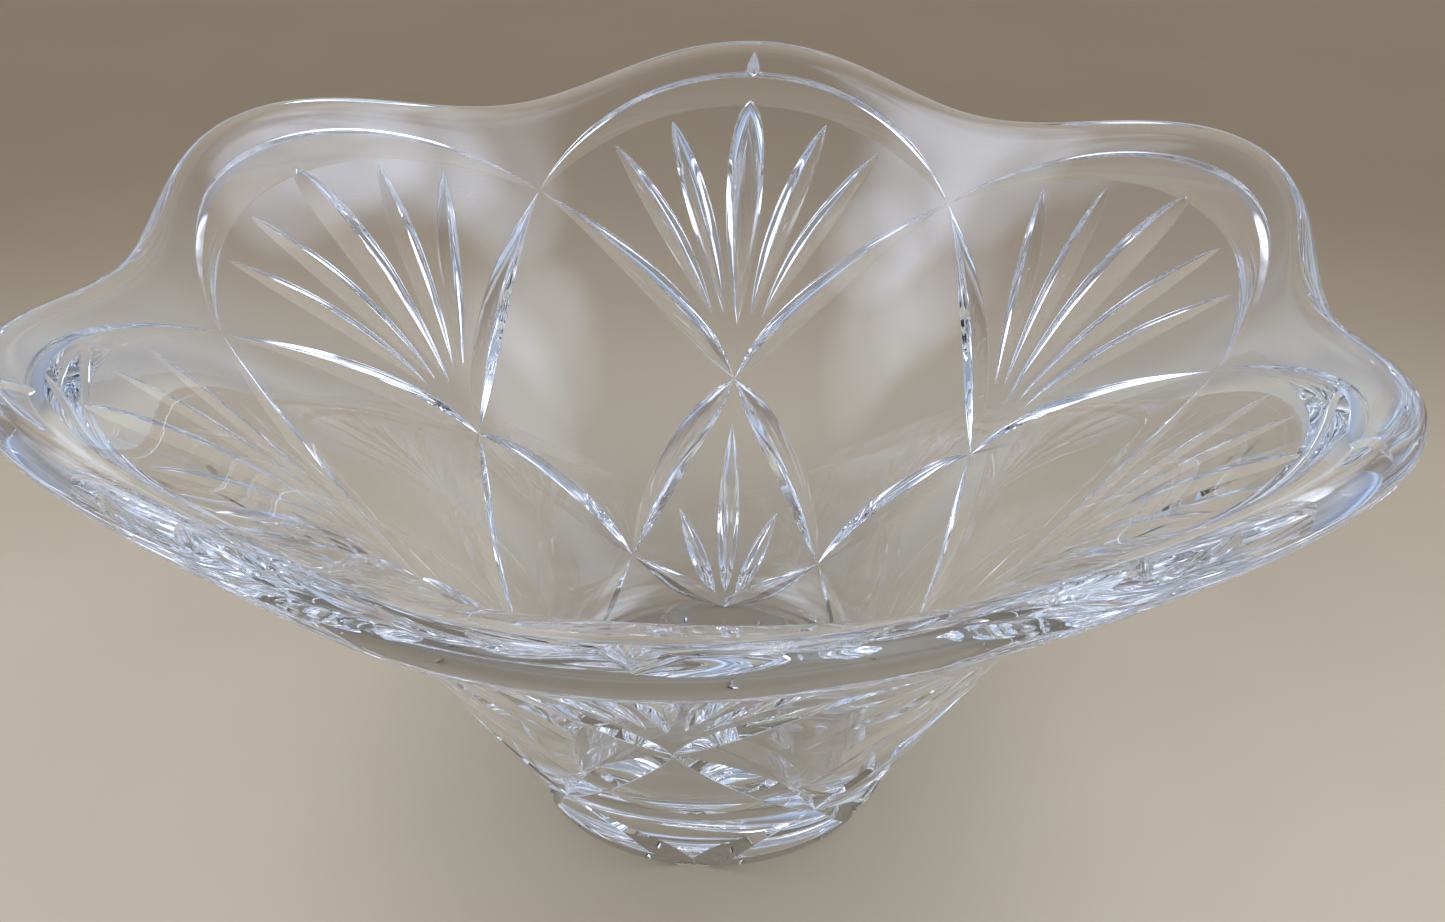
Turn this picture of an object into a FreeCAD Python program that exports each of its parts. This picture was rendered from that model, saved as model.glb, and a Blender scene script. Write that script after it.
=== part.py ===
import FreeCAD, Part
import math
import os
import Sketcher

# A heavy cut-glass bowl on a thick round foot.  Z is up and the foot rests on z = 0.
# The wall flares to a rim of six lobes.  Azimuths are measured from +Y towards +X, and a lobe
# stands at every multiple of 60 degrees, with a valley of the rim half-way between two lobes.
# Lengths are in millimetres.

LOBES = 6
POLES_PER_LOBE = 8
DEGREE = 3
FULL_TURN = 360.0
TOLERANCE = 1e-4

# How a sketch numbers the points of a line or an arc, and its own origin and Y axis.
START, END, CENTRE = 1, 2, 3
ORIGIN, Y_AXIS = -1, -2

DIMENSIONS = [
    ("foot_radius", 44.6, "radius of the ring that the foot rests on"),
    ("foot_height", 12.0, "height of the foot, up to its joint with the bowl"),
    ("joint_radius", 49.2, "radius of the joint between the foot and the bowl"),
    ("foot_edge_round", 1.0, "rounding of the foot's lower edge"),
    ("hollow_radius", 33.0, "radius of the shallow hollow under the foot"),
    ("hollow_depth", 1.5, "depth of the hollow at its centre"),
    ("notch_depth", 2.7, "depth of the six notches in the foot's edge"),
    ("notch_half_width", 5.5, "half the width of a notch at the foot's edge"),
    ("notch_mouth_radius", 60.0, "radius of the notch cutter's outer face, clear of the foot"),
    ("notch_cut_height", 10.0, "height of the notch cutter, which tapers away inside the foot"),
    ("notch_taper", 37.0, "taper of the notch cutter, in degrees"),
    ("lower_radius", 64.8, "outer wall, lower part"),
    ("lower_height", 39.6, "height of that point"),
    ("middle_radius", 79.4, "outer wall, middle"),
    ("middle_height", 66.1, "height of that point"),
    ("upper_radius", 96.4, "outer wall, upper part"),
    ("upper_height", 89.4, "height of that point"),
    ("shoulder_radius", 118.5, "outer wall just below the rim, mean over the lobes"),
    ("shoulder_height", 111.4, "height of that point"),
    ("shoulder_radius_swing", 2.1, "how far the shoulder swings out at a lobe and in at a valley"),
    ("shoulder_height_swing", 3.5, "how far it swings up at a lobe and down at a valley"),
    ("rim_radius", 143.3, "outer corner of the rim, mean over the lobes"),
    ("rim_height", 130.6, "height of that point"),
    ("rim_radius_swing", 7.7, "how far the rim's corner swings out at a lobe and in at a valley"),
    ("rim_height_swing", 4.3, "how far it swings up at a lobe and down at a valley"),
    ("rim_thickness", 9.0, "glass thickness at the rim"),
    ("shoulder_thickness", 11.0, "glass thickness at the shoulder"),
    ("upper_thickness", 12.0, "glass thickness of the upper wall"),
    ("middle_thickness", 13.0, "glass thickness of the middle wall"),
    ("lower_thickness", 14.0, "glass thickness of the lower wall"),
    ("rim_roundness", 6.0, "length of wall that eases into the rim's rounding"),
    ("floor_height", 22.0, "height of the flat floor inside the bowl"),
    ("floor_corner_radius", 40.0, "radius at which the inner wall turns into the floor"),
    ("floor_radius", 24.0, "radius of the flat floor"),
]


def make_sheet(doc):
    """The driving dimensions, one alias a row, with what each one is beside it."""
    sheet = doc.addObject("Spreadsheet::Sheet", "dims")
    for row, (alias, value, note) in enumerate(DIMENSIONS, start=1):
        sheet.set("A%d" % row, alias)
        sheet.set("B%d" % row, str(value))
        sheet.setAlias("B%d" % row, alias)
        sheet.set("C%d" % row, note)
    doc.recompute()
    return sheet


# ---------------------------------------------------------------- sketching

def vector(x, y, z=0.0):
    return FreeCAD.Vector(x, y, z)


def origin_plane(body, role):
    """One of the body's own origin planes, found by its role."""
    return next(f for f in body.Origin.OriginFeatures if getattr(f, "Role", "") == role)


def new_sketch(body, name, role):
    sketch = body.newObject("Sketcher::SketchObject", name)
    sketch.AttachmentSupport = [(origin_plane(body, role), "")]
    sketch.MapMode = "FlatFace"
    return sketch


def constrain(sketch, kind, *where):
    sketch.addConstraint(Sketcher.Constraint(kind, *where))


def add_polygon(sketch, points):
    """A closed polygon whose corners are joined, as lines 0, 1, 2 and so on."""
    following = points[1:] + points[:1]
    for here, there in zip(points, following):
        sketch.addGeometry(Part.LineSegment(vector(*here), vector(*there)))
    for line in range(len(points)):
        constrain(sketch, "Coincident", line, END, (line + 1) % len(points), START)


def pin(sketch, kind, line, point, value, expression, name):
    """Holds a point's X or Y distance from the sketch's origin, bound to the sheet."""
    distance = Sketcher.Constraint(kind, ORIGIN, START, line, point, value)
    sketch.renameConstraint(sketch.addConstraint(distance), name)
    sketch.setExpression("Constraints." + name, expression)


def turn(body, kind, name, sketch):
    """Turns a sketch all the way round its vertical axis, adding or cutting."""
    made = body.newObject(kind, name)
    made.Profile = sketch
    made.ReferenceAxis = (sketch, ["V_Axis"])
    made.Angle = FULL_TURN
    body.Document.recompute()
    return made


# ---------------------------------------------------------------- the foot

def add_disc(body, sheet):
    """The foot as a solid cone frustum, standing on z = 0."""
    sketch = new_sketch(body, "foot_profile", "XZ_Plane")
    top = sheet.foot_height
    add_polygon(sketch, [(0, 0), (sheet.foot_radius, 0), (sheet.joint_radius, top), (0, top)])
    base, side, upper, axis = range(4)
    constrain(sketch, "Coincident", base, START, ORIGIN, START)
    constrain(sketch, "Horizontal", base)
    constrain(sketch, "Horizontal", upper)
    constrain(sketch, "Vertical", axis)
    pin(sketch, "DistanceX", base, END, sheet.foot_radius, "dims.foot_radius", "ring")
    pin(sketch, "DistanceX", side, END, sheet.joint_radius, "dims.joint_radius", "joint")
    pin(sketch, "DistanceY", side, END, top, "dims.foot_height", "height")
    return turn(body, "PartDesign::Revolution", "foot_disc", sketch)


def add_hollow(body, sheet):
    """A shallow spherical hollow underneath, so that the foot rests on a ring."""
    sketch = new_sketch(body, "hollow_profile", "XZ_Plane")
    radius, depth = sheet.hollow_radius, sheet.hollow_depth
    sphere = (radius**2 + depth**2) / (2 * depth)
    circle = Part.Circle(vector(0, depth - sphere), vector(0, 0, 1), sphere)
    base, dome, axis = range(3)
    sketch.addGeometry(Part.LineSegment(vector(0, 0), vector(radius, 0)))
    sketch.addGeometry(Part.ArcOfCircle(circle, math.atan2(sphere - depth, radius), math.pi / 2))
    sketch.addGeometry(Part.LineSegment(vector(0, depth), vector(0, 0)))
    constrain(sketch, "Coincident", base, END, dome, START)
    constrain(sketch, "Coincident", dome, END, axis, START)
    constrain(sketch, "Coincident", axis, END, base, START)
    constrain(sketch, "Coincident", base, START, ORIGIN, START)
    constrain(sketch, "Horizontal", base)
    constrain(sketch, "PointOnObject", dome, CENTRE, Y_AXIS)
    pin(sketch, "DistanceX", base, END, radius, "dims.hollow_radius", "radius")
    pin(sketch, "DistanceY", dome, END, depth, "dims.hollow_depth", "depth")
    return turn(body, "PartDesign::Groove", "hollow", sketch)


def lower_edge(shape, radius):
    """The name of the circular edge of this radius at z = 0."""
    for number, edge in enumerate(shape.Edges, start=1):
        if not isinstance(edge.Curve, Part.Circle):
            continue
        low = abs(edge.BoundBox.ZMax) < TOLERANCE
        if low and abs(edge.Curve.Radius - radius) < TOLERANCE:
            return "Edge%d" % number
    raise ValueError("no lower edge of radius %g" % radius)


def round_edge(body, sheet, solid):
    """Rounds the outer edge that the foot rests on."""
    rounding = body.newObject("PartDesign::Fillet", "edge_round")
    rounding.Base = (solid, [lower_edge(solid.Shape, sheet.foot_radius)])
    rounding.Radius = sheet.foot_edge_round
    rounding.setExpression("Radius", "dims.foot_edge_round")
    body.Document.recompute()


def notch_profile(body, sheet):
    """A triangle whose tip points at the foot's axis and whose mouth lies clear of the foot."""
    sketch = new_sketch(body, "notch_profile", "XY_Plane")
    inner = sheet.foot_radius - sheet.notch_depth
    outer = sheet.notch_mouth_radius
    half = sheet.notch_half_width * (outer - inner) / sheet.notch_depth
    tip_text = "dims.foot_radius - dims.notch_depth"
    reach_text = "(dims.notch_mouth_radius - dims.foot_radius + dims.notch_depth)"
    half_text = "dims.notch_half_width * %s / dims.notch_depth" % reach_text
    flank, mouth = range(2)
    add_polygon(sketch, [(0, inner), (half, outer), (-half, outer)])
    constrain(sketch, "PointOnObject", flank, START, Y_AXIS)
    constrain(sketch, "Symmetric", flank, END, mouth, END, Y_AXIS)
    pin(sketch, "DistanceY", flank, START, inner, tip_text, "tip")
    pin(sketch, "DistanceY", flank, END, outer, "dims.notch_mouth_radius", "mouth")
    pin(sketch, "DistanceX", flank, END, half, half_text, "half_mouth")
    return sketch


def add_notches(body, sheet):
    """Six notches in the foot's edge, each tapering away upwards."""
    sketch = notch_profile(body, sheet)
    notch = body.newObject("PartDesign::Pocket", "notch")
    notch.Profile = sketch
    notch.Type = "Length"
    notch.Length = sheet.notch_cut_height
    notch.setExpression("Length", "dims.notch_cut_height")
    notch.TaperAngle = -sheet.notch_taper
    notch.setExpression("TaperAngle", "-dims.notch_taper")
    notch.Reversed = True
    body.Document.recompute()
    ring = body.newObject("PartDesign::PolarPattern", "notches")
    ring.Originals = [notch]
    ring.Axis = (sketch, ["N_Axis"])
    ring.Angle = FULL_TURN
    ring.Occurrences = LOBES
    return ring


def make_foot(doc, sheet):
    """The solid foot: a turned disc, hollowed a little underneath, with six notches in its edge."""
    body = doc.addObject("PartDesign::Body", "foot")
    body.Label = "foot"
    body.Placement = FreeCAD.Placement()
    add_disc(body, sheet)
    hollow = add_hollow(body, sheet)
    round_edge(body, sheet, hollow)
    body.Tip = add_notches(body, sheet)
    doc.recompute()
    return body


# ---------------------------------------------------------------- the bowl

def run_between(before, after):
    """The direction from one (radius, height) point to another, of length 1."""
    run = (after[0] - before[0], after[1] - before[1])
    length = math.hypot(*run)
    return run[0] / length, run[1] / length


def moved(point, run, distance):
    return point[0] + run[0] * distance, point[1] + run[1] * distance


def outside_poles(sheet, swing):
    """Control points (radius, height) up the outside, from the joint to the rim's corner."""
    shoulder = sheet.shoulder_radius + swing * sheet.shoulder_radius_swing
    shoulder_height = sheet.shoulder_height + swing * sheet.shoulder_height_swing
    rim = sheet.rim_radius + swing * sheet.rim_radius_swing
    rim_height = sheet.rim_height + swing * sheet.rim_height_swing
    return [
        (sheet.joint_radius, sheet.foot_height),
        (sheet.lower_radius, sheet.lower_height),
        (sheet.middle_radius, sheet.middle_height),
        (sheet.upper_radius, sheet.upper_height),
        (shoulder, shoulder_height),
        (rim, rim_height),
    ]


def inside_poles(sheet, outside):
    """Control points up the inside: each outside point but the joint, moved in square to the
    wall by the glass thickness there."""
    thickness = [
        sheet.lower_thickness,
        sheet.middle_thickness,
        sheet.upper_thickness,
        sheet.shoulder_thickness,
        sheet.rim_thickness,
    ]
    after = outside[2:] + outside[-1:]
    inside = []
    for before, point, following, depth in zip(outside, outside[1:], after, thickness):
        run = run_between(before, following)
        inside.append(moved(point, (-run[1], run[0]), depth))
    return inside


def section_poles(sheet, swing):
    """Control points (radius, height) of the wall's section, from the joint up the outside,
    over the rim and down the inside to the flat floor.  swing is 1 at a lobe and -1 at a
    valley."""
    outside = outside_poles(sheet, swing)
    inside = inside_poles(sheet, outside)
    down = run_between(outside[-1], outside[-2])
    rim = [
        moved(outside[-1], down, sheet.rim_roundness),
        outside[-1],
        inside[-1],
        moved(inside[-1], down, sheet.rim_roundness),
    ]
    floor = [
        (sheet.floor_corner_radius, sheet.floor_height),
        ((sheet.floor_corner_radius + sheet.floor_radius) / 2, sheet.floor_height),
        (sheet.floor_radius, sheet.floor_height),
    ]
    return outside[:-1] + rim + inside[-2::-1] + floor


def pole_gain(step):
    """A uniform cubic spline passes inside its poles by this factor, for poles set on a wave
    whose phase grows by step from one pole to the next."""
    return (4 + 2 * math.cos(step)) / 6


def wall_poles(sheet):
    """Rows of control points, one row for each azimuth."""
    around = LOBES * POLES_PER_LOBE
    step = 2 * math.pi / around
    radial = 1 / pole_gain(step)
    wave = pole_gain(step) / pole_gain(LOBES * step)
    rows = []
    for i in range(around):
        x, y = math.sin(i * step) * radial, math.cos(i * step) * radial
        section = section_poles(sheet, math.cos(LOBES * i * step) * wave)
        rows.append([vector(r * x, r * y, z) for r, z in section])
    return rows


def wall_surface(sheet):
    """The bowl's whole skin, outside and inside, as one smooth surface closed around Z."""
    poles = wall_poles(sheet)
    around = len(poles)
    spans = len(poles[0]) - DEGREE
    surface = Part.BSplineSurface()
    surface.buildFromPolesMultsKnots(
        poles,
        [1] * (around + 1),
        [DEGREE + 1] + [1] * (spans - 1) + [DEGREE + 1],
        [float(i) for i in range(around + 1)],
        [float(i) for i in range(spans + 1)],
        True,
        False,
        DEGREE,
        DEGREE,
    )
    return surface


def make_bowl(doc, sheet):
    """The lobed wall with its floor, a free-form solid that no sketched feature gives."""
    skin = wall_surface(sheet).toShape()
    rings = [e for e in skin.Edges if e.isClosed() and e.BoundBox.ZLength < TOLERANCE]
    discs = [Part.Face(Part.Wire([e])) for e in rings]
    shell = Part.makeShell([skin] + discs)
    shell.sewShape()
    solid = Part.makeSolid(shell)
    if solid.Volume < 0:
        solid.reverse()
    bowl = doc.addObject("Part::Feature", "bowl")
    bowl.Label = "bowl"
    bowl.Shape = solid
    bowl.Placement = FreeCAD.Placement()
    return bowl


# ---------------------------------------------------------------- building

def check(doc, parts):
    """Stops if any object failed or any piece isn't one valid closed solid."""
    for thing in doc.Objects:
        if "Invalid" in thing.State or "Error" in thing.State:
            raise RuntimeError("%s failed: %s" % (thing.Name, thing.State))
    for part in parts:
        shape = part.Shape
        if shape.isNull() or not shape.isValid() or len(shape.Solids) != 1:
            raise RuntimeError("%s isn't one valid solid" % part.Label)
        print("%-6s volume %.0f mm3, box %s" % (part.Label, shape.Volume, shape.BoundBox))


def main():
    doc = FreeCAD.newDocument("bowl_on_foot")
    sheet = make_sheet(doc)
    parts = [make_foot(doc, sheet), make_bowl(doc, sheet)]
    doc.recompute()
    check(doc, parts)
    os.makedirs("parts", exist_ok=True)
    for part in parts:
        part.Shape.exportStep("parts/%s.step" % part.Label)


main()
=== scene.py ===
import math

import bpy
import numpy as np
from mathutils import Matrix, Vector
from mathutils.bvhtree import BVHTree


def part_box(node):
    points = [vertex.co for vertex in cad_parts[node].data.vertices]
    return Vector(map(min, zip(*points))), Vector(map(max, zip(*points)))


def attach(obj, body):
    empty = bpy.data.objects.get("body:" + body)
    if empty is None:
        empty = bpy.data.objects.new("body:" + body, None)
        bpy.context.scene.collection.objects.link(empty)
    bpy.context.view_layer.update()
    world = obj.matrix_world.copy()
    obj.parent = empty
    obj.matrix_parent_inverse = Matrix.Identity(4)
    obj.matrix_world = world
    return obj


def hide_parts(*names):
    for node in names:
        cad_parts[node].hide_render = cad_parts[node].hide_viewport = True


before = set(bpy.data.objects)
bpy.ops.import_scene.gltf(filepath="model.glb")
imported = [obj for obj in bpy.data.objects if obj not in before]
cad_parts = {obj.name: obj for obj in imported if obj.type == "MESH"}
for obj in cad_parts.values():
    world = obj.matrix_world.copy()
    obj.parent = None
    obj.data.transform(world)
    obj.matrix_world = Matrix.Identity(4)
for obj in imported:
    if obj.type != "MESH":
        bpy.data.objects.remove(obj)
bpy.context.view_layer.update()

# A footed bowl of clear glass with mitred grooves cut in its outside.  Its lengths are in
# millimetres until place() puts them in the frame; the floor, lamps and camera are in metres.
# Azimuths are in degrees from +Y towards +X: a lobe of the rim stands at every multiple of 60,
# and a valley half-way between two lobes.

LOBES = 6
LOBE_ANGLE = 60
DEGREE = 3

FOOT_RADIUS = 44.6
FOOT_HEIGHT = 12.0
JOINT_RADIUS = 49.2
FOOT_ROUND = 1.0
HOLLOW_RADIUS = 33.0
HOLLOW_DEPTH = 1.5
# How strongly the foot's side leaves its lower edge in the direction of the joint.
FOOT_LEAVE = 0.9

# Control points of the wall's outside: mean radius, mean height, how far the two rise from these
# at a lobe and fall at a valley, and the glass thickness there.
WALL = (
    (64.8, 39.6, 0.0, 0.0, 14.0),
    (79.4, 66.1, 0.0, 0.0, 13.0),
    (96.4, 89.4, 0.0, 0.0, 12.0),
    (118.5, 111.4, 2.1, 3.5, 11.0),
    (143.3, 130.6, 7.7, 4.3, 9.0),
)
# Length of wall that eases into the rim's rounding.
RIM_EASE = 6.0
# Control points of the floor inside.  A flat disc fills the middle from the last one.
FLOOR = ((40.0, 22.0), (32.0, 22.0), (24.0, 22.0))

# How finely the skin is divided: points around, and rows along each stretch of its section.
AROUND = 264
HOLLOW_ROWS = 9
RING_ROWS = 4
ROUND_STEPS = 5
SIDE_ROWS = 8
OUTSIDE_ROWS = 84
RIM_ROWS = 12
INSIDE_ROWS = 46
# Length over the top of the rim that has the close rows.
RIM_TURN = 14.0

# Which faces of the cut glass came from what, kept as material numbers while it is being cut.
SKIN, FLANK, GROOVE_LIP = 0, 1, 2

mm = 0.001
foot_low, foot_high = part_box("foot")
centre = (foot_low + foot_high) / 2


# ---------------------------------------------------------------- the wall as one smooth skin

def section_poles(swing):
    """The section's control points (radius, height), from the joint up the outside, over the rim
    and down the inside to the floor, for swing = 1 at a lobe and -1 at a valley."""
    outside = [np.array((JOINT_RADIUS, FOOT_HEIGHT))]
    for radius, height, radius_swing, height_swing, _ in WALL:
        outside.append(np.array((radius + swing * radius_swing, height + swing * height_swing)))
    inside = []
    for i in range(1, len(outside)):
        run = outside[min(i + 1, len(outside) - 1)] - outside[i - 1]
        square = np.array((-run[1], run[0])) / np.hypot(*run)
        inside.append(outside[i] + square * WALL[i - 1][4])
    run = outside[-1] - outside[-2]
    ease = run * RIM_EASE / np.hypot(*run)
    rim = [outside[-1] - ease, outside[-1], inside[-1], inside[-1] - ease]
    return np.array(outside[:-1] + rim + inside[-2::-1] + [np.array(p) for p in FLOOR])


def spline_basis(poles, values):
    """Weights of a clamped uniform cubic B-spline at values from 0 to 1."""
    spans = poles - DEGREE
    knots = np.concatenate([[0.0] * DEGREE, np.arange(spans + 1.0), [spans] * DEGREE])
    t = np.clip(np.asarray(values, float) * spans, 0, spans - 1e-9)
    weights = np.array([(knots[i] <= t) & (t < knots[i + 1]) for i in range(len(knots) - 1)], float)
    for degree in range(1, DEGREE + 1):
        higher = []
        for i in range(len(weights) - 1):
            rise = knots[i + degree] - knots[i]
            fall = knots[i + degree + 1] - knots[i + 1]
            left = (t - knots[i]) / rise * weights[i] if rise else 0.0
            right = (knots[i + degree + 1] - t) / fall * weights[i + 1] if fall else 0.0
            higher.append(left + right + 0.0 * t)
        weights = np.array(higher)
    return weights.T


POLES = len(section_poles(0.0))


def wall_section(azimuth, values):
    """Points (radius, height) of the wall at one azimuth, for spline parameters 0 to 1."""
    return spline_basis(POLES, values) @ section_poles(math.cos(math.radians(azimuth * LOBES)))


def foot_side(values):
    """Points of the foot's side from its lower edge to the joint, flowing into the wall."""
    start = np.array((FOOT_RADIUS, 0.0))
    end = np.array((JOINT_RADIUS, FOOT_HEIGHT))
    leave = (end - start) * FOOT_LEAVE
    arrive = np.array(WALL[0][:2]) - end
    arrive = arrive * np.hypot(*(end - start)) / np.hypot(*arrive)
    t = np.asarray(values, float)[:, None]
    return (
        (2 * t**3 - 3 * t**2 + 1) * start
        + (t**3 - 2 * t**2 + t) * leave
        + (3 * t**2 - 2 * t**3) * end
        + (t**3 - t**2) * arrive
    )


SAMPLES = np.linspace(0, 1, 1601)
FOOT_SAMPLES = np.linspace(0, 1, 60)

# The outside's radius is tabled at every degree of one lobe and at these heights.
TABLE_STEP = 0.25
TABLE_HEIGHTS = np.arange(-2.0, 136.0, TABLE_STEP)


def outside_line(azimuth):
    """Radius of the outside at every height of the table, for one azimuth."""
    wall = wall_section(azimuth, SAMPLES)
    top = int(np.argmax(wall[:, 1]))
    side = foot_side(FOOT_SAMPLES)
    line = np.vstack([side[:-1], wall[: top + 1]])
    return np.interp(TABLE_HEIGHTS, line[:, 1], line[:, 0])


TABLE_RADII = np.array([outside_line(a) for a in range(LOBE_ANGLE + 1)])


def outside_radius(points):
    """Radius of the outside at each point's azimuth and height, read from a table."""
    azimuth = np.degrees(np.arctan2(points[:, 0], points[:, 1])) % LOBE_ANGLE
    azimuth = np.minimum(azimuth, LOBE_ANGLE - 1e-4)
    height = (points[:, 2] - TABLE_HEIGHTS[0]) / TABLE_STEP
    height = np.clip(height, 0, len(TABLE_HEIGHTS) - 1.001)
    i, j = azimuth.astype(int), height.astype(int)
    u, v = azimuth - i, height - j
    return (
        TABLE_RADII[i, j] * (1 - u) * (1 - v)
        + TABLE_RADII[i + 1, j] * u * (1 - v)
        + TABLE_RADII[i, j + 1] * (1 - u) * v
        + TABLE_RADII[i + 1, j + 1] * u * v
    )


def on_outside(azimuths, heights):
    """Points of the outside and their outward normals, in millimetres from the foot's middle."""

    def points(a, h):
        turn = np.radians(a)
        ray = np.column_stack([np.sin(turn), np.cos(turn), h])
        radius = outside_radius(ray)
        return np.column_stack([ray[:, 0] * radius, ray[:, 1] * radius, h])

    # Half a degree around, and half a millimetre up.
    step = 0.5
    around = points(azimuths + step, heights) - points(azimuths - step, heights)
    up = points(azimuths, heights + step) - points(azimuths, np.maximum(heights - step, 0.0))
    return points(azimuths, heights), unit(np.cross(up, around))


def unit(vectors):
    """Each row brought to length 1."""
    return vectors / np.linalg.norm(vectors, axis=1)[:, None]


def place(points):
    """Millimetres from the middle of the foot's ring to metres in the frame."""
    return [(centre.x + x * mm, centre.y + y * mm, foot_low.z + z * mm) for x, y, z in points]


def fixed_rows():
    """The rows (radius, height) that are the same at every azimuth: the hollow under the foot,
    the ring it stands on, its rounded edge and its side."""
    sphere = (HOLLOW_RADIUS**2 + HOLLOW_DEPTH**2) / (2 * HOLLOW_DEPTH)
    rows = [
        (r, HOLLOW_DEPTH - sphere + math.sqrt(sphere**2 - r**2))
        for r in np.linspace(0, HOLLOW_RADIUS, HOLLOW_ROWS + 1)[1:]
    ]
    ring = FOOT_RADIUS - FOOT_ROUND
    rows += [(r, 0.0) for r in np.linspace(HOLLOW_RADIUS, ring, RING_ROWS + 1)[1:]]
    for k in range(1, ROUND_STEPS):
        turn = math.pi / 2 * k / ROUND_STEPS
        rows.append((ring + FOOT_ROUND * math.sin(turn), FOOT_ROUND * (1 - math.cos(turn))))
    side = foot_side(np.linspace(0, 1, SIDE_ROWS + 1))
    return np.array(rows + [tuple(p) for p in side if p[1] > FOOT_ROUND * 1.1])


def wall_values():
    """Spline parameters of the wall's rows, evenly spaced along the outside, closer at the rim."""
    wall = wall_section(0, SAMPLES)
    length = np.concatenate([[0.0], np.cumsum(np.hypot(*np.diff(wall, axis=0).T))])
    top = length[int(np.argmax(wall[:, 1]))]
    rim_end = top + RIM_TURN
    stretches = (
        (0, top, OUTSIDE_ROWS), (top, rim_end, RIM_ROWS), (rim_end, length[-1], INSIDE_ROWS),
    )
    return np.concatenate([
        np.interp(np.linspace(low, high, rows), length, SAMPLES)[1:]
        for low, high, rows in stretches
    ])


def skin_mesh():
    """The uncut bowl and foot as one closed mesh, with its smooth normals."""
    fixed = fixed_rows()
    weights = spline_basis(POLES, wall_values())
    rows = []
    for i in range(AROUND):
        azimuth = 360.0 * i / AROUND
        wall = weights @ section_poles(math.cos(math.radians(azimuth * LOBES)))
        section = np.vstack([fixed, wall])
        a = math.radians(azimuth)
        rows.append(np.column_stack(
            [section[:, 0] * math.sin(a), section[:, 0] * math.cos(a), section[:, 1]]
        ))
    grid = np.array(rows)
    across = grid.shape[1]
    around = np.roll(grid, -1, axis=0) - np.roll(grid, 1, axis=0)
    along = np.empty_like(grid)
    along[:, 1:-1] = grid[:, 2:] - grid[:, :-2]
    along[:, 0] = grid[:, 1] - (0, 0, HOLLOW_DEPTH)
    along[:, -1] = (0, 0, FLOOR[-1][1]) - grid[:, -2]
    normals = np.cross(along, around)
    normals /= np.linalg.norm(normals, axis=2)[:, :, None]
    points = [tuple(p) for p in grid.reshape(-1, 3)]
    smooth = [tuple(n) for n in normals.reshape(-1, 3)]
    points += [(0, 0, HOLLOW_DEPTH), (0, 0, FLOOR[-1][1])]
    smooth += [(0, 0, -1), (0, 0, 1)]
    low, high = len(points) - 2, len(points) - 1
    faces = []
    for i in range(AROUND):
        j = (i + 1) % AROUND
        for k in range(across - 1):
            faces.append((i * across + k, i * across + k + 1, j * across + k + 1, j * across + k))
        faces.append((low, i * across, j * across))
        faces.append((high, j * across + across - 1, i * across + across - 1))
    return points, faces, smooth


# ---------------------------------------------------------------- the wheel cuts

# A groove's polished lip: its width, and the most of the flank that it may take.
LIP = 0.24
LIP_SHARE = 0.4
# How hollow a flank is, as a share of its width.
BULGE = 0.035
# Beyond the skin a cutter flares by FLARE and then rises by CLEAR, so that it leaves the glass.
FLARE = 1.6
CLEAR = 2.0
# How far a flank passes the skin where a groove is too shallow for a lip.
HAIR = 1e-3
# Halvings that find where a flank meets the skin.
HALVINGS = 24


def beyond_skin(points):
    """How far each point lies outside the skin, measured level; negative inside the glass."""
    return np.hypot(points[:, 0], points[:, 1]) - outside_radius(points)


def reach_skin(keel, flank, longest):
    """How far along its flank each keel point is from the skin, or 0 where it is outside."""
    low = np.zeros(len(keel))
    high = np.full(len(keel), longest)
    for _ in range(HALVINGS):
        middle = (low + high) / 2
        inside = beyond_skin(keel + flank * middle[:, None]) < 0
        low = np.where(inside, middle, low)
        high = np.where(inside, high, middle)
    return np.where(beyond_skin(keel) < 0, (low + high) / 2, 0.0)


def trough(path, depth, slopes):
    """A closed V-shaped cutter.  path holds (azimuth, height), depth how deep its keel runs under
    the skin at each, and slopes how far each flank spreads for every millimetre it rises.  Each
    flank is a little hollow, and turns out to a narrow lip where it meets the skin."""
    here, normal = on_outside(*np.array(path, float).T)
    tangent = unit(np.gradient(here, axis=0))
    side = unit(np.cross(normal, tangent))
    keel = here - normal * np.asarray(depth)[:, None]
    lines = [keel]
    for way, slope in ((1, slopes[0]), (-1, slopes[1])):
        flank = unit(normal + side * way * slope)
        square = unit(normal * slope - side * way)
        longest = (max(depth) + 3) * math.hypot(1, slope)
        reach = reach_skin(keel, flank, longest)
        lip = np.minimum(LIP, reach * LIP_SHARE)[:, None] + HAIR
        edge = keel + flank * reach[:, None]
        knee = edge - flank * (lip - 2 * HAIR)
        middle = (keel + knee) / 2 - square * (reach[:, None] * BULGE)
        out = unit(unit(side * way) + flank)
        flare = knee + out * FLARE
        lines += [middle, knee, flare, flare + normal * CLEAR]
    count = len(path)
    points = [tuple(p) for p in np.vstack(lines)]
    ring = (0, 1, 2, 3, 4, 8, 7, 6, 5)
    marks = (FLANK,) * 2 + (GROOVE_LIP,) * 5 + (FLANK,) * 2
    faces, kinds = [], []
    for i in range(count - 1):
        for k, mark in enumerate(marks):
            a, b = ring[k] * count + i, ring[(k + 1) % len(ring)] * count + i
            faces.append((a, b, b + 1, a + 1))
            kinds.append(mark)
    faces.append(tuple(r * count for r in reversed(ring)))
    faces.append(tuple(r * count + count - 1 for r in ring))
    kinds += [FLANK, FLANK]
    return points, faces, kinds


def leaf_depth(u, deepest, power, lean):
    """Depth along a cut for u from 0 to 1: nothing at the ends, deepest where u = lean."""
    skew = math.log(0.5) / math.log(lean)
    t = np.sign(u) * np.abs(u) ** skew
    return deepest * (1 - np.abs(2 * t - 1) ** power)


def straight(start, end, u):
    """A path whose azimuth and height both run evenly."""
    return [(start[0] + (end[0] - start[0]) * t, start[1] + (end[1] - start[1]) * t) for t in u]


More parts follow.
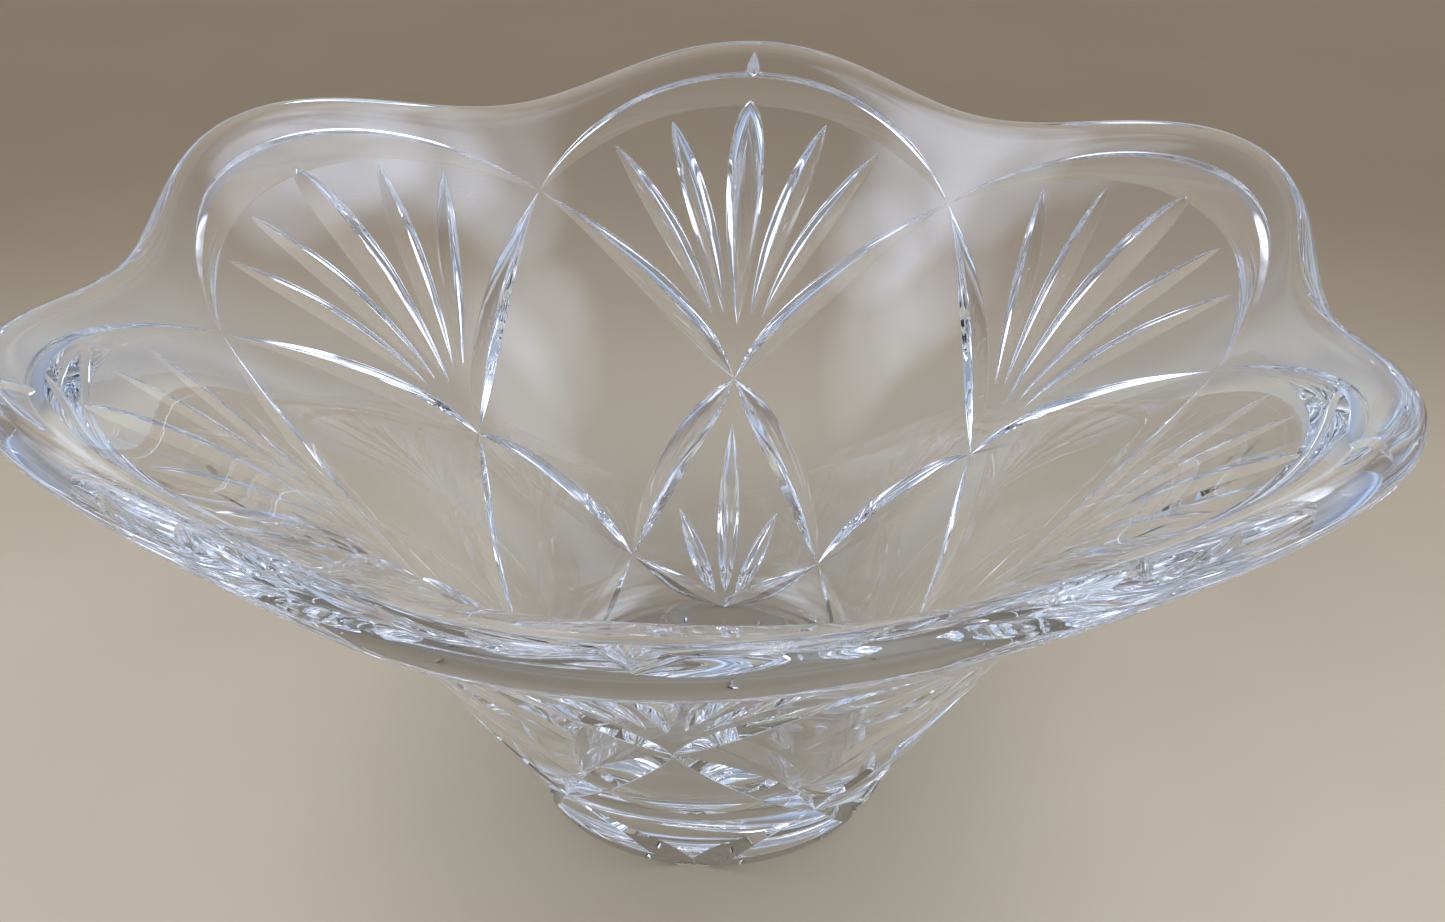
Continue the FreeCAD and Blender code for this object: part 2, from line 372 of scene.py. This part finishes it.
def leaf(start, end, half_width, deepest, power=2.0, lean=0.5, over=0.03, steps=28):
    """A leaf-shaped mitre cut from one (azimuth, height) to another."""
    u = np.linspace(-over, 1 + over, steps)
    slope = half_width / deepest
    return trough(straight(start, end, u), leaf_depth(u, deepest, power, lean), (slope, slope))


def pair(start, end, *shape):
    """A leaf and its mirror image about the lobe's middle."""
    return [
        leaf((way * start[0], start[1]), (way * end[0], end[1]), *shape) for way in (1, -1)
    ]


# Where the cuts meet: at the rim's valleys, on the lobe's middle, below the valleys, at the foot.
VALLEY = (30, 107.5)
CROSSING = (0, 63.8)
LOW_VALLEY = (30, 23.6)
PAST_FOOT = (-6, -4.5)
ARCH_TOP = 127.5
ARCH_DEPTH = 2.7
ARCH_SLOPES = (3.1, 1.15)
ARCH_STEPS = 49


def arch():
    """The crescent under the rim: a wide flank on one side and a narrow steep one on the other."""
    u = np.linspace(-1.02, 1.02, ARCH_STEPS)
    path = [(VALLEY[0] * t, ARCH_TOP - (ARCH_TOP - VALLEY[1]) * t * t) for t in u]
    return trough(path, ARCH_DEPTH * (1 - u * u), ARCH_SLOPES)


def cuts(lobe):
    """Every cut of one lobe, as (points, faces, kinds), with azimuths from the lobe's middle.
    A leaf's numbers are its ends, half width, depth, fullness and where along it is deepest."""
    made = [arch(), leaf((0, 123.6), (0, 76.0), 5.4, 4.2, 2.1, 0.34)]
    made += pair((10.0, 119.4), (2.4, 78.0), 3.6, 3.0, 2.1, 0.42)
    made += pair((18.0, 115.3), (4.6, 78.0), 3.3, 2.8, 2.1, 0.45)
    made += pair(VALLEY, CROSSING, 3.9, 3.0, 2.6, 0.58)
    made += pair(CROSSING, LOW_VALLEY, 4.4, 3.4, 2.6, 0.45)
    made += pair(LOW_VALLEY, PAST_FOOT, 3.8, 3.5, 2.0, 0.55)
    if lobe % 2 == 0:
        made.append(leaf((0, 134.4), (0, 126.4), 1.9, 1.6, 2.0, 0.62))
        made.append(leaf((0, 53.5), (0, 8.0), 3.3, 2.8, 2.1, 0.5))
        made += pair((14.0, 33.5), (3.6, 7.0), 2.6, 2.3, 2.0, 0.5)
    return made


def turned(points, angle):
    """Points turned about Z by an azimuth in degrees."""
    a = math.radians(angle)
    c, s = math.cos(a), math.sin(a)
    return [(x * c + y * s, y * c - x * s, z) for x, y, z in points]


def new_object(name, points, faces, materials, kinds=None):
    """A mesh object in the scene, with its faces' material numbers where kinds are given."""
    mesh = bpy.data.meshes.new(name)
    mesh.from_pydata(points, [], faces)
    for material in materials:
        mesh.materials.append(material)
    if kinds:
        mesh.polygons.foreach_set("material_index", kinds)
    made = bpy.data.objects.new(name, mesh)
    bpy.context.scene.collection.objects.link(made)
    return made


def cutters(marks):
    """Cutter objects, each made of cuts that don't meet: the same cut on every other lobe."""
    made = []
    for first in (0, 1):
        for number, (points, faces, kinds) in enumerate(cuts(first)):
            all_points, all_faces = [], []
            for lobe in range(first, LOBES, 2):
                base = len(all_points)
                all_points += turned(points, LOBE_ANGLE * lobe)
                all_faces += [tuple(base + i for i in f) for f in faces]
            name = "cutter_%d_%d" % (first, number)
            all_kinds = kinds * (LOBES // 2)
            made.append(new_object(name, place(all_points), all_faces, marks, all_kinds))
    return made


def cut_all(bowl, tools):
    """Cuts every tool from the bowl and leaves the result as the bowl's own mesh."""
    for tool in tools:
        step = bowl.modifiers.new("cut", "BOOLEAN")
        step.operation = "DIFFERENCE"
        step.solver = "MANIFOLD"
        step.material_mode = "TRANSFER"
        step.object = tool
        graph = bpy.context.evaluated_depsgraph_get()
        mesh = bpy.data.meshes.new_from_object(bowl.evaluated_get(graph))
        bowl.modifiers.clear()
        old = bowl.data
        bowl.data = mesh
        bpy.data.meshes.remove(old)
    for tool in tools:
        mesh = tool.data
        bpy.data.objects.remove(tool)
        bpy.data.meshes.remove(mesh)


def corner_weights(spot, corners):
    """Inverse-distance weights, exact at a corner and smooth between."""
    distances = [(spot - c).length for c in corners]
    near = min(distances)
    if near < 1e-7:
        return [1.0 if d == near else 0.0 for d in distances]
    weights = [1 / d**2 for d in distances]
    total = sum(weights)
    return [w / total for w in weights]


def skin_reader(mesh, points, faces, normals):
    """A function that gives the whole skin's normal at a vertex of the cut mesh."""
    tree = BVHTree.FromPolygons([Vector(p) for p in points], faces)
    known = {}

    def read(index):
        if index not in known:
            spot, _, face, _ = tree.find_nearest(mesh.vertices[index].co)
            weights = corner_weights(spot, [Vector(points[i]) for i in faces[face]])
            total = Vector((0, 0, 0))
            for w, i in zip(weights, faces[face]):
                total += Vector(normals[i]) * w
            known[index] = total.normalized()
        return known[index]

    return read


# Two faces of a flank that meet at more than this many degrees are kept crisp.
CREASE = 24


def mark_creases(mesh, kind):
    """Marks every edge sharp where two kinds of face meet, and along each keel."""
    edge_faces = {}
    for p in mesh.polygons:
        for key in p.edge_keys:
            edge_faces.setdefault(key, []).append(p.index)
    face_normals = [p.normal.copy() for p in mesh.polygons]
    least = math.cos(math.radians(CREASE))
    for edge in mesh.edges:
        beside = edge_faces.get(tuple(sorted(edge.vertices)), [])
        if len(beside) == 2:
            a, b = beside
            bent = kind[a] == FLANK and face_normals[a].dot(face_normals[b]) < least
            edge.use_edge_sharp = kind[a] != kind[b] or bent


def smooth_normals(bowl, points, faces, normals):
    """Uncut skin takes the analytic normals of the whole skin.  A groove's lip turns evenly from
    the skin's normal to its flank's, and the flanks meet in a crisp keel."""
    mesh = bowl.data
    kind = [p.material_index for p in mesh.polygons]
    on_skin = set()
    flank_sum = {}
    for p in mesh.polygons:
        p.use_smooth = True
        if kind[p.index] == SKIN:
            on_skin.update(p.vertices)
        elif kind[p.index] == FLANK:
            for v in p.vertices:
                flank_sum[v] = flank_sum.get(v, Vector((0, 0, 0))) + p.normal * p.area
    mark_creases(mesh, kind)
    skin_normal = skin_reader(mesh, points, faces, normals)
    custom = [Vector((0, 0, 0))] * len(mesh.loops)
    for p in mesh.polygons:
        if kind[p.index] == FLANK:
            continue
        for loop in p.loop_indices:
            vertex = mesh.loops[loop].vertex_index
            if kind[p.index] == SKIN or vertex in on_skin:
                custom[loop] = skin_normal(vertex)
            elif vertex in flank_sum:
                custom[loop] = flank_sum[vertex].normalized()
    mesh.normals_split_custom_set(custom)


# ---------------------------------------------------------------- materials

REFRACTIVE_INDEX = 1.545
GLASS_TINT = (0.985, 0.988, 1.0, 1.0)
# What the glass lets through to shadow rays and to light scattered by matt surfaces.
GLASS_SHADE = (0.66, 0.66, 0.66, 1.0)
PAPER_TONES = (
    (0.35, (0.288, 0.201, 0.106, 1.0)),
    (0.65, (0.304, 0.213, 0.113, 1.0)),
)


def node(tree, kind, **inputs):
    """A shader node with its inputs set by name, with _ for a space."""
    made = tree.nodes.new(kind)
    for name, value in inputs.items():
        made.inputs[name.replace("_", " ")].default_value = value
    return made


def crystal():
    """Clear lead glass, faintly cool, with smears in its polish and the softest waviness."""
    material = bpy.data.materials.new("crystal_glass")
    material.use_nodes = True
    tree = material.node_tree
    tree.nodes.clear()
    link = tree.links.new
    where = tree.nodes.new("ShaderNodeTexCoord")
    smears = node(tree, "ShaderNodeTexNoise", Scale=38.0, Detail=3.0, Roughness=0.5)
    link(where.outputs["Object"], smears.inputs["Vector"])
    dulled = node(
        tree, "ShaderNodeMapRange", From_Min=0.52, From_Max=0.78, To_Min=0.0, To_Max=0.02
    )
    link(smears.outputs["Fac"], dulled.inputs["Value"])
    waves = node(tree, "ShaderNodeTexNoise", Scale=55.0, Detail=2.0, Roughness=0.4)
    link(where.outputs["Object"], waves.inputs["Vector"])
    bump = node(tree, "ShaderNodeBump", Strength=0.06, Distance=0.0006)
    link(waves.outputs["Fac"], bump.inputs["Height"])
    glass = node(
        tree, "ShaderNodeBsdfPrincipled",
        Base_Color=GLASS_TINT, IOR=REFRACTIVE_INDEX, Transmission_Weight=1.0,
    )
    link(dulled.outputs["Result"], glass.inputs["Roughness"])
    link(bump.outputs["Normal"], glass.inputs["Normal"])
    shade = node(tree, "ShaderNodeBsdfTransparent", Color=GLASS_SHADE)
    path = tree.nodes.new("ShaderNodeLightPath")
    passing = tree.nodes.new("ShaderNodeMath")
    passing.operation = "MAXIMUM"
    link(path.outputs["Is Shadow Ray"], passing.inputs[0])
    link(path.outputs["Is Diffuse Ray"], passing.inputs[1])
    mix = tree.nodes.new("ShaderNodeMixShader")
    link(passing.outputs["Value"], mix.inputs["Fac"])
    link(glass.outputs["BSDF"], mix.inputs[1])
    link(shade.outputs["BSDF"], mix.inputs[2])
    out = tree.nodes.new("ShaderNodeOutputMaterial")
    link(mix.outputs["Shader"], out.inputs["Surface"])
    return material


def paper():
    """The matt warm paper that the bowl stands on, slightly mottled and with a fine grain."""
    material = bpy.data.materials.new("warm_paper")
    material.use_nodes = True
    tree = material.node_tree
    link = tree.links.new
    surface = tree.nodes["Principled BSDF"]
    where = tree.nodes.new("ShaderNodeTexCoord")
    mottle = node(tree, "ShaderNodeTexNoise", Scale=9.0, Detail=4.0, Roughness=0.6)
    link(where.outputs["Object"], mottle.inputs["Vector"])
    tones = tree.nodes.new("ShaderNodeValToRGB")
    for element, (position, colour) in zip(tones.color_ramp.elements, PAPER_TONES):
        element.position = position
        element.color = colour
    link(mottle.outputs["Fac"], tones.inputs["Fac"])
    link(tones.outputs["Color"], surface.inputs["Base Color"])
    surface.inputs["Roughness"].default_value = 0.8
    grain = node(tree, "ShaderNodeTexNoise", Scale=900.0, Detail=2.0)
    link(where.outputs["Object"], grain.inputs["Vector"])
    bump = node(tree, "ShaderNodeBump", Strength=0.05, Distance=0.0002)
    link(grain.outputs["Fac"], bump.inputs["Height"])
    link(bump.outputs["Normal"], surface.inputs["Normal"])
    return material


# ---------------------------------------------------------------- the bowl

def build_bowl():
    """The bowl and its foot as one closed glass mesh, in place of both CAD nodes."""
    marks = [crystal()]
    marks += [bpy.data.materials.new(name) for name in ("flank_mark", "lip_mark")]
    points, faces, normals = skin_mesh()
    points = place(points)
    bowl = new_object("cut_glass_bowl", points, faces, marks)
    cut_all(bowl, cutters(marks))
    smooth_normals(bowl, points, faces, normals)
    mesh = bowl.data
    mesh.polygons.foreach_set("material_index", [0] * len(mesh.polygons))
    while len(mesh.materials) > 1:
        mesh.materials.pop(index=len(mesh.materials) - 1)
    for mark in marks[1:]:
        bpy.data.materials.remove(mark)
    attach(bowl, "root")
    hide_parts("bowl", "foot")


# ---------------------------------------------------------------- floor, light and camera

FLOOR_HALF = 6.0


def build_floor():
    """A wide square of paper at the foot's height."""
    half, low = FLOOR_HALF, foot_low.z
    corners = [(-half, -half, low), (half, -half, low), (half, half, low), (-half, half, low)]
    new_object("floor", corners, [(0, 1, 2, 3)], [paper()])


# The room by height above the horizon, from 0 level to 1 overhead: a tone at each height.
SKY = (
    (0.00, (0.26, 0.34, 0.52)),
    (0.06, (0.50, 0.68, 0.96)),
    (0.12, (0.84, 0.95, 1.00)),
    (0.19, (0.24, 0.36, 0.64)),
    (0.27, (0.55, 0.72, 0.97)),
    (0.36, (0.24, 0.31, 0.47)),
    (0.48, (0.34, 0.37, 0.43)),
    (0.66, (0.29, 0.285, 0.29)),
    (1.00, (0.27, 0.265, 0.265)),
)

# Soft round glows in the room for the glass to reflect.  Each has its azimuth and elevation, the
# radii at which it ends and is full, and its colour; all angles are in degrees.
WINDOW = (1.70, 1.92, 2.40)
WALL_GLOW = (1.10, 1.24, 1.52)
GLOWS = (
    (35, 54, 13.6, 6.3, WINDOW),
    (53, 60, 13.6, 6.3, WINDOW),
    (81, 63, 13.6, 6.3, WINDOW),
    (109, 43, 17.3, 7.3, WALL_GLOW),
    (95, 30, 18.2, 7.3, WALL_GLOW),
    (-68, 59, 13.6, 6.3, WINDOW),
    (-90, 64, 13.1, 6.3, WINDOW),
    (-117, 59, 13.1, 6.3, WINDOW),
    (-100, 45, 14.5, 7.3, WALL_GLOW),
    (-118, 40, 15.9, 7.3, WALL_GLOW),
)

# A Mix node's colour sockets share their names with its other sockets, so they go by number.
MIX_FACTOR, MIX_A, MIX_B, MIX_RESULT = 0, 6, 7, 2


def build_world():
    """The room that the glass reflects and refracts."""
    world = bpy.data.worlds.new("room")
    world.use_nodes = True
    tree = world.node_tree
    link = tree.links.new
    where = tree.nodes.new("ShaderNodeTexCoord")
    split = tree.nodes.new("ShaderNodeSeparateXYZ")
    link(where.outputs["Generated"], split.inputs["Vector"])
    tones = tree.nodes.new("ShaderNodeValToRGB")
    tones.color_ramp.interpolation = "EASE"
    while len(tones.color_ramp.elements) < len(SKY):
        tones.color_ramp.elements.new(0.5)
    for element, (height, colour) in zip(tones.color_ramp.elements, SKY):
        element.position = height
        element.color = (*colour, 1.0)
    link(split.outputs["Z"], tones.inputs["Fac"])
    total = tones.outputs["Color"]
    for azimuth, elevation, end, full, colour in GLOWS:
        a, e = math.radians(azimuth), math.radians(elevation)
        toward = tree.nodes.new("ShaderNodeVectorMath")
        toward.operation = "DOT_PRODUCT"
        toward.inputs[1].default_value = (
            math.sin(a) * math.cos(e), math.cos(a) * math.cos(e), math.sin(e)
        )
        link(where.outputs["Generated"], toward.inputs[0])
        fade = node(
            tree, "ShaderNodeMapRange",
            From_Min=math.cos(math.radians(end)), From_Max=math.cos(math.radians(full)),
        )
        fade.interpolation_type = "SMOOTHSTEP"
        link(toward.outputs["Value"], fade.inputs["Value"])
        add = tree.nodes.new("ShaderNodeMix")
        add.data_type = "RGBA"
        add.blend_type = "ADD"
        add.inputs[MIX_B].default_value = (*colour, 1.0)
        link(fade.outputs["Result"], add.inputs[MIX_FACTOR])
        link(total, add.inputs[MIX_A])
        total = add.outputs[MIX_RESULT]
    link(total, tree.nodes["Background"].inputs["Color"])
    bpy.context.scene.world = world


# The two lamps stand mirrored about the middle, each aimed a third of the way out.
LAMP_OUT = 0.42
LAMP_NEAR = -0.04
LAMP_HEIGHT = 0.55
LAMP_AIM_NEAR = -0.12
LAMP_SIZE = 0.34
LAMP_POWER = 2.65
LAMP_SPREAD = 82
LAMP_COLOUR = (0.42, 0.59, 1.00)


def build_lamp(name, out):
    """A square softbox that lights the paper and isn't seen in the glass or through it."""
    light = bpy.data.lights.new(name, "AREA")
    light.shape = "RECTANGLE"
    light.size = LAMP_SIZE
    light.size_y = LAMP_SIZE
    light.energy = LAMP_POWER
    light.color = LAMP_COLOUR
    light.spread = math.radians(LAMP_SPREAD)
    lamp = bpy.data.objects.new(name, light)
    lamp.location = (out, LAMP_NEAR, LAMP_HEIGHT)
    aim = Vector((out / 3, LAMP_AIM_NEAR, 0.0)) - lamp.location
    lamp.rotation_euler = aim.to_track_quat("-Z", "Y").to_euler()
    lamp.visible_glossy = False
    lamp.visible_transmission = False
    bpy.context.scene.collection.objects.link(lamp)


# Where the camera stands about its target, in degrees from -Y towards +X and up from level, and
# then how it turns from facing it, in radians.  The lens is in millimetres.
CAMERA_AZIMUTH = 5.45
CAMERA_ELEVATION = 27.68
CAMERA_DISTANCE = 0.3686
CAMERA_TARGET_HEIGHT = 0.1076
CAMERA_YAW = 0.0082
CAMERA_PITCH = -0.0402
CAMERA_ROLL = -0.0043
CAMERA_LENS = 40.79
CAMERA_SHIFT = -0.0158


def swung(first, second, angle):
    """Two square unit vectors turned in their plane, the first towards the second."""
    c, s = math.cos(angle), math.sin(angle)
    return first * c + second * s, second * c - first * s


def build_camera():
    a, e = math.radians(CAMERA_AZIMUTH), math.radians(CAMERA_ELEVATION)
    back = Vector((math.sin(a) * math.cos(e), -math.cos(a) * math.cos(e), math.sin(e)))
    ahead = -back
    right = ahead.cross(Vector((0, 0, 1))).normalized()
    up = right.cross(ahead)
    ahead, right = swung(ahead, right, CAMERA_YAW)
    ahead, up = swung(ahead, up, CAMERA_PITCH)
    right, up = swung(right, up, CAMERA_ROLL)
    data = bpy.data.cameras.new("camera")
    data.sensor_width = 36.0
    data.lens = CAMERA_LENS
    data.shift_y = CAMERA_SHIFT
    data.clip_start = 0.01
    camera = bpy.data.objects.new("camera", data)
    target = Vector((centre.x, centre.y, foot_low.z + CAMERA_TARGET_HEIGHT))
    turn = Matrix((right, up, -ahead)).transposed()
    camera.matrix_world = Matrix.Translation(target + back * CAMERA_DISTANCE) @ turn.to_4x4()
    bpy.context.scene.collection.objects.link(camera)
    bpy.context.scene.camera = camera


def open_up_light():
    """Plain tones, and enough light bounces for thick clear glass seen through clear glass."""
    scene = bpy.context.scene
    scene.view_settings.view_transform = "Standard"
    scene.cycles.max_bounces = 24
    scene.cycles.glossy_bounces = 16
    scene.cycles.transmission_bounces = 24
    scene.cycles.transparent_max_bounces = 24


build_bowl()
build_floor()
build_world()
build_lamp("left_box", -LAMP_OUT)
build_lamp("right_box", LAMP_OUT)
build_camera()
open_up_light()

bpy.context.view_layer.update()
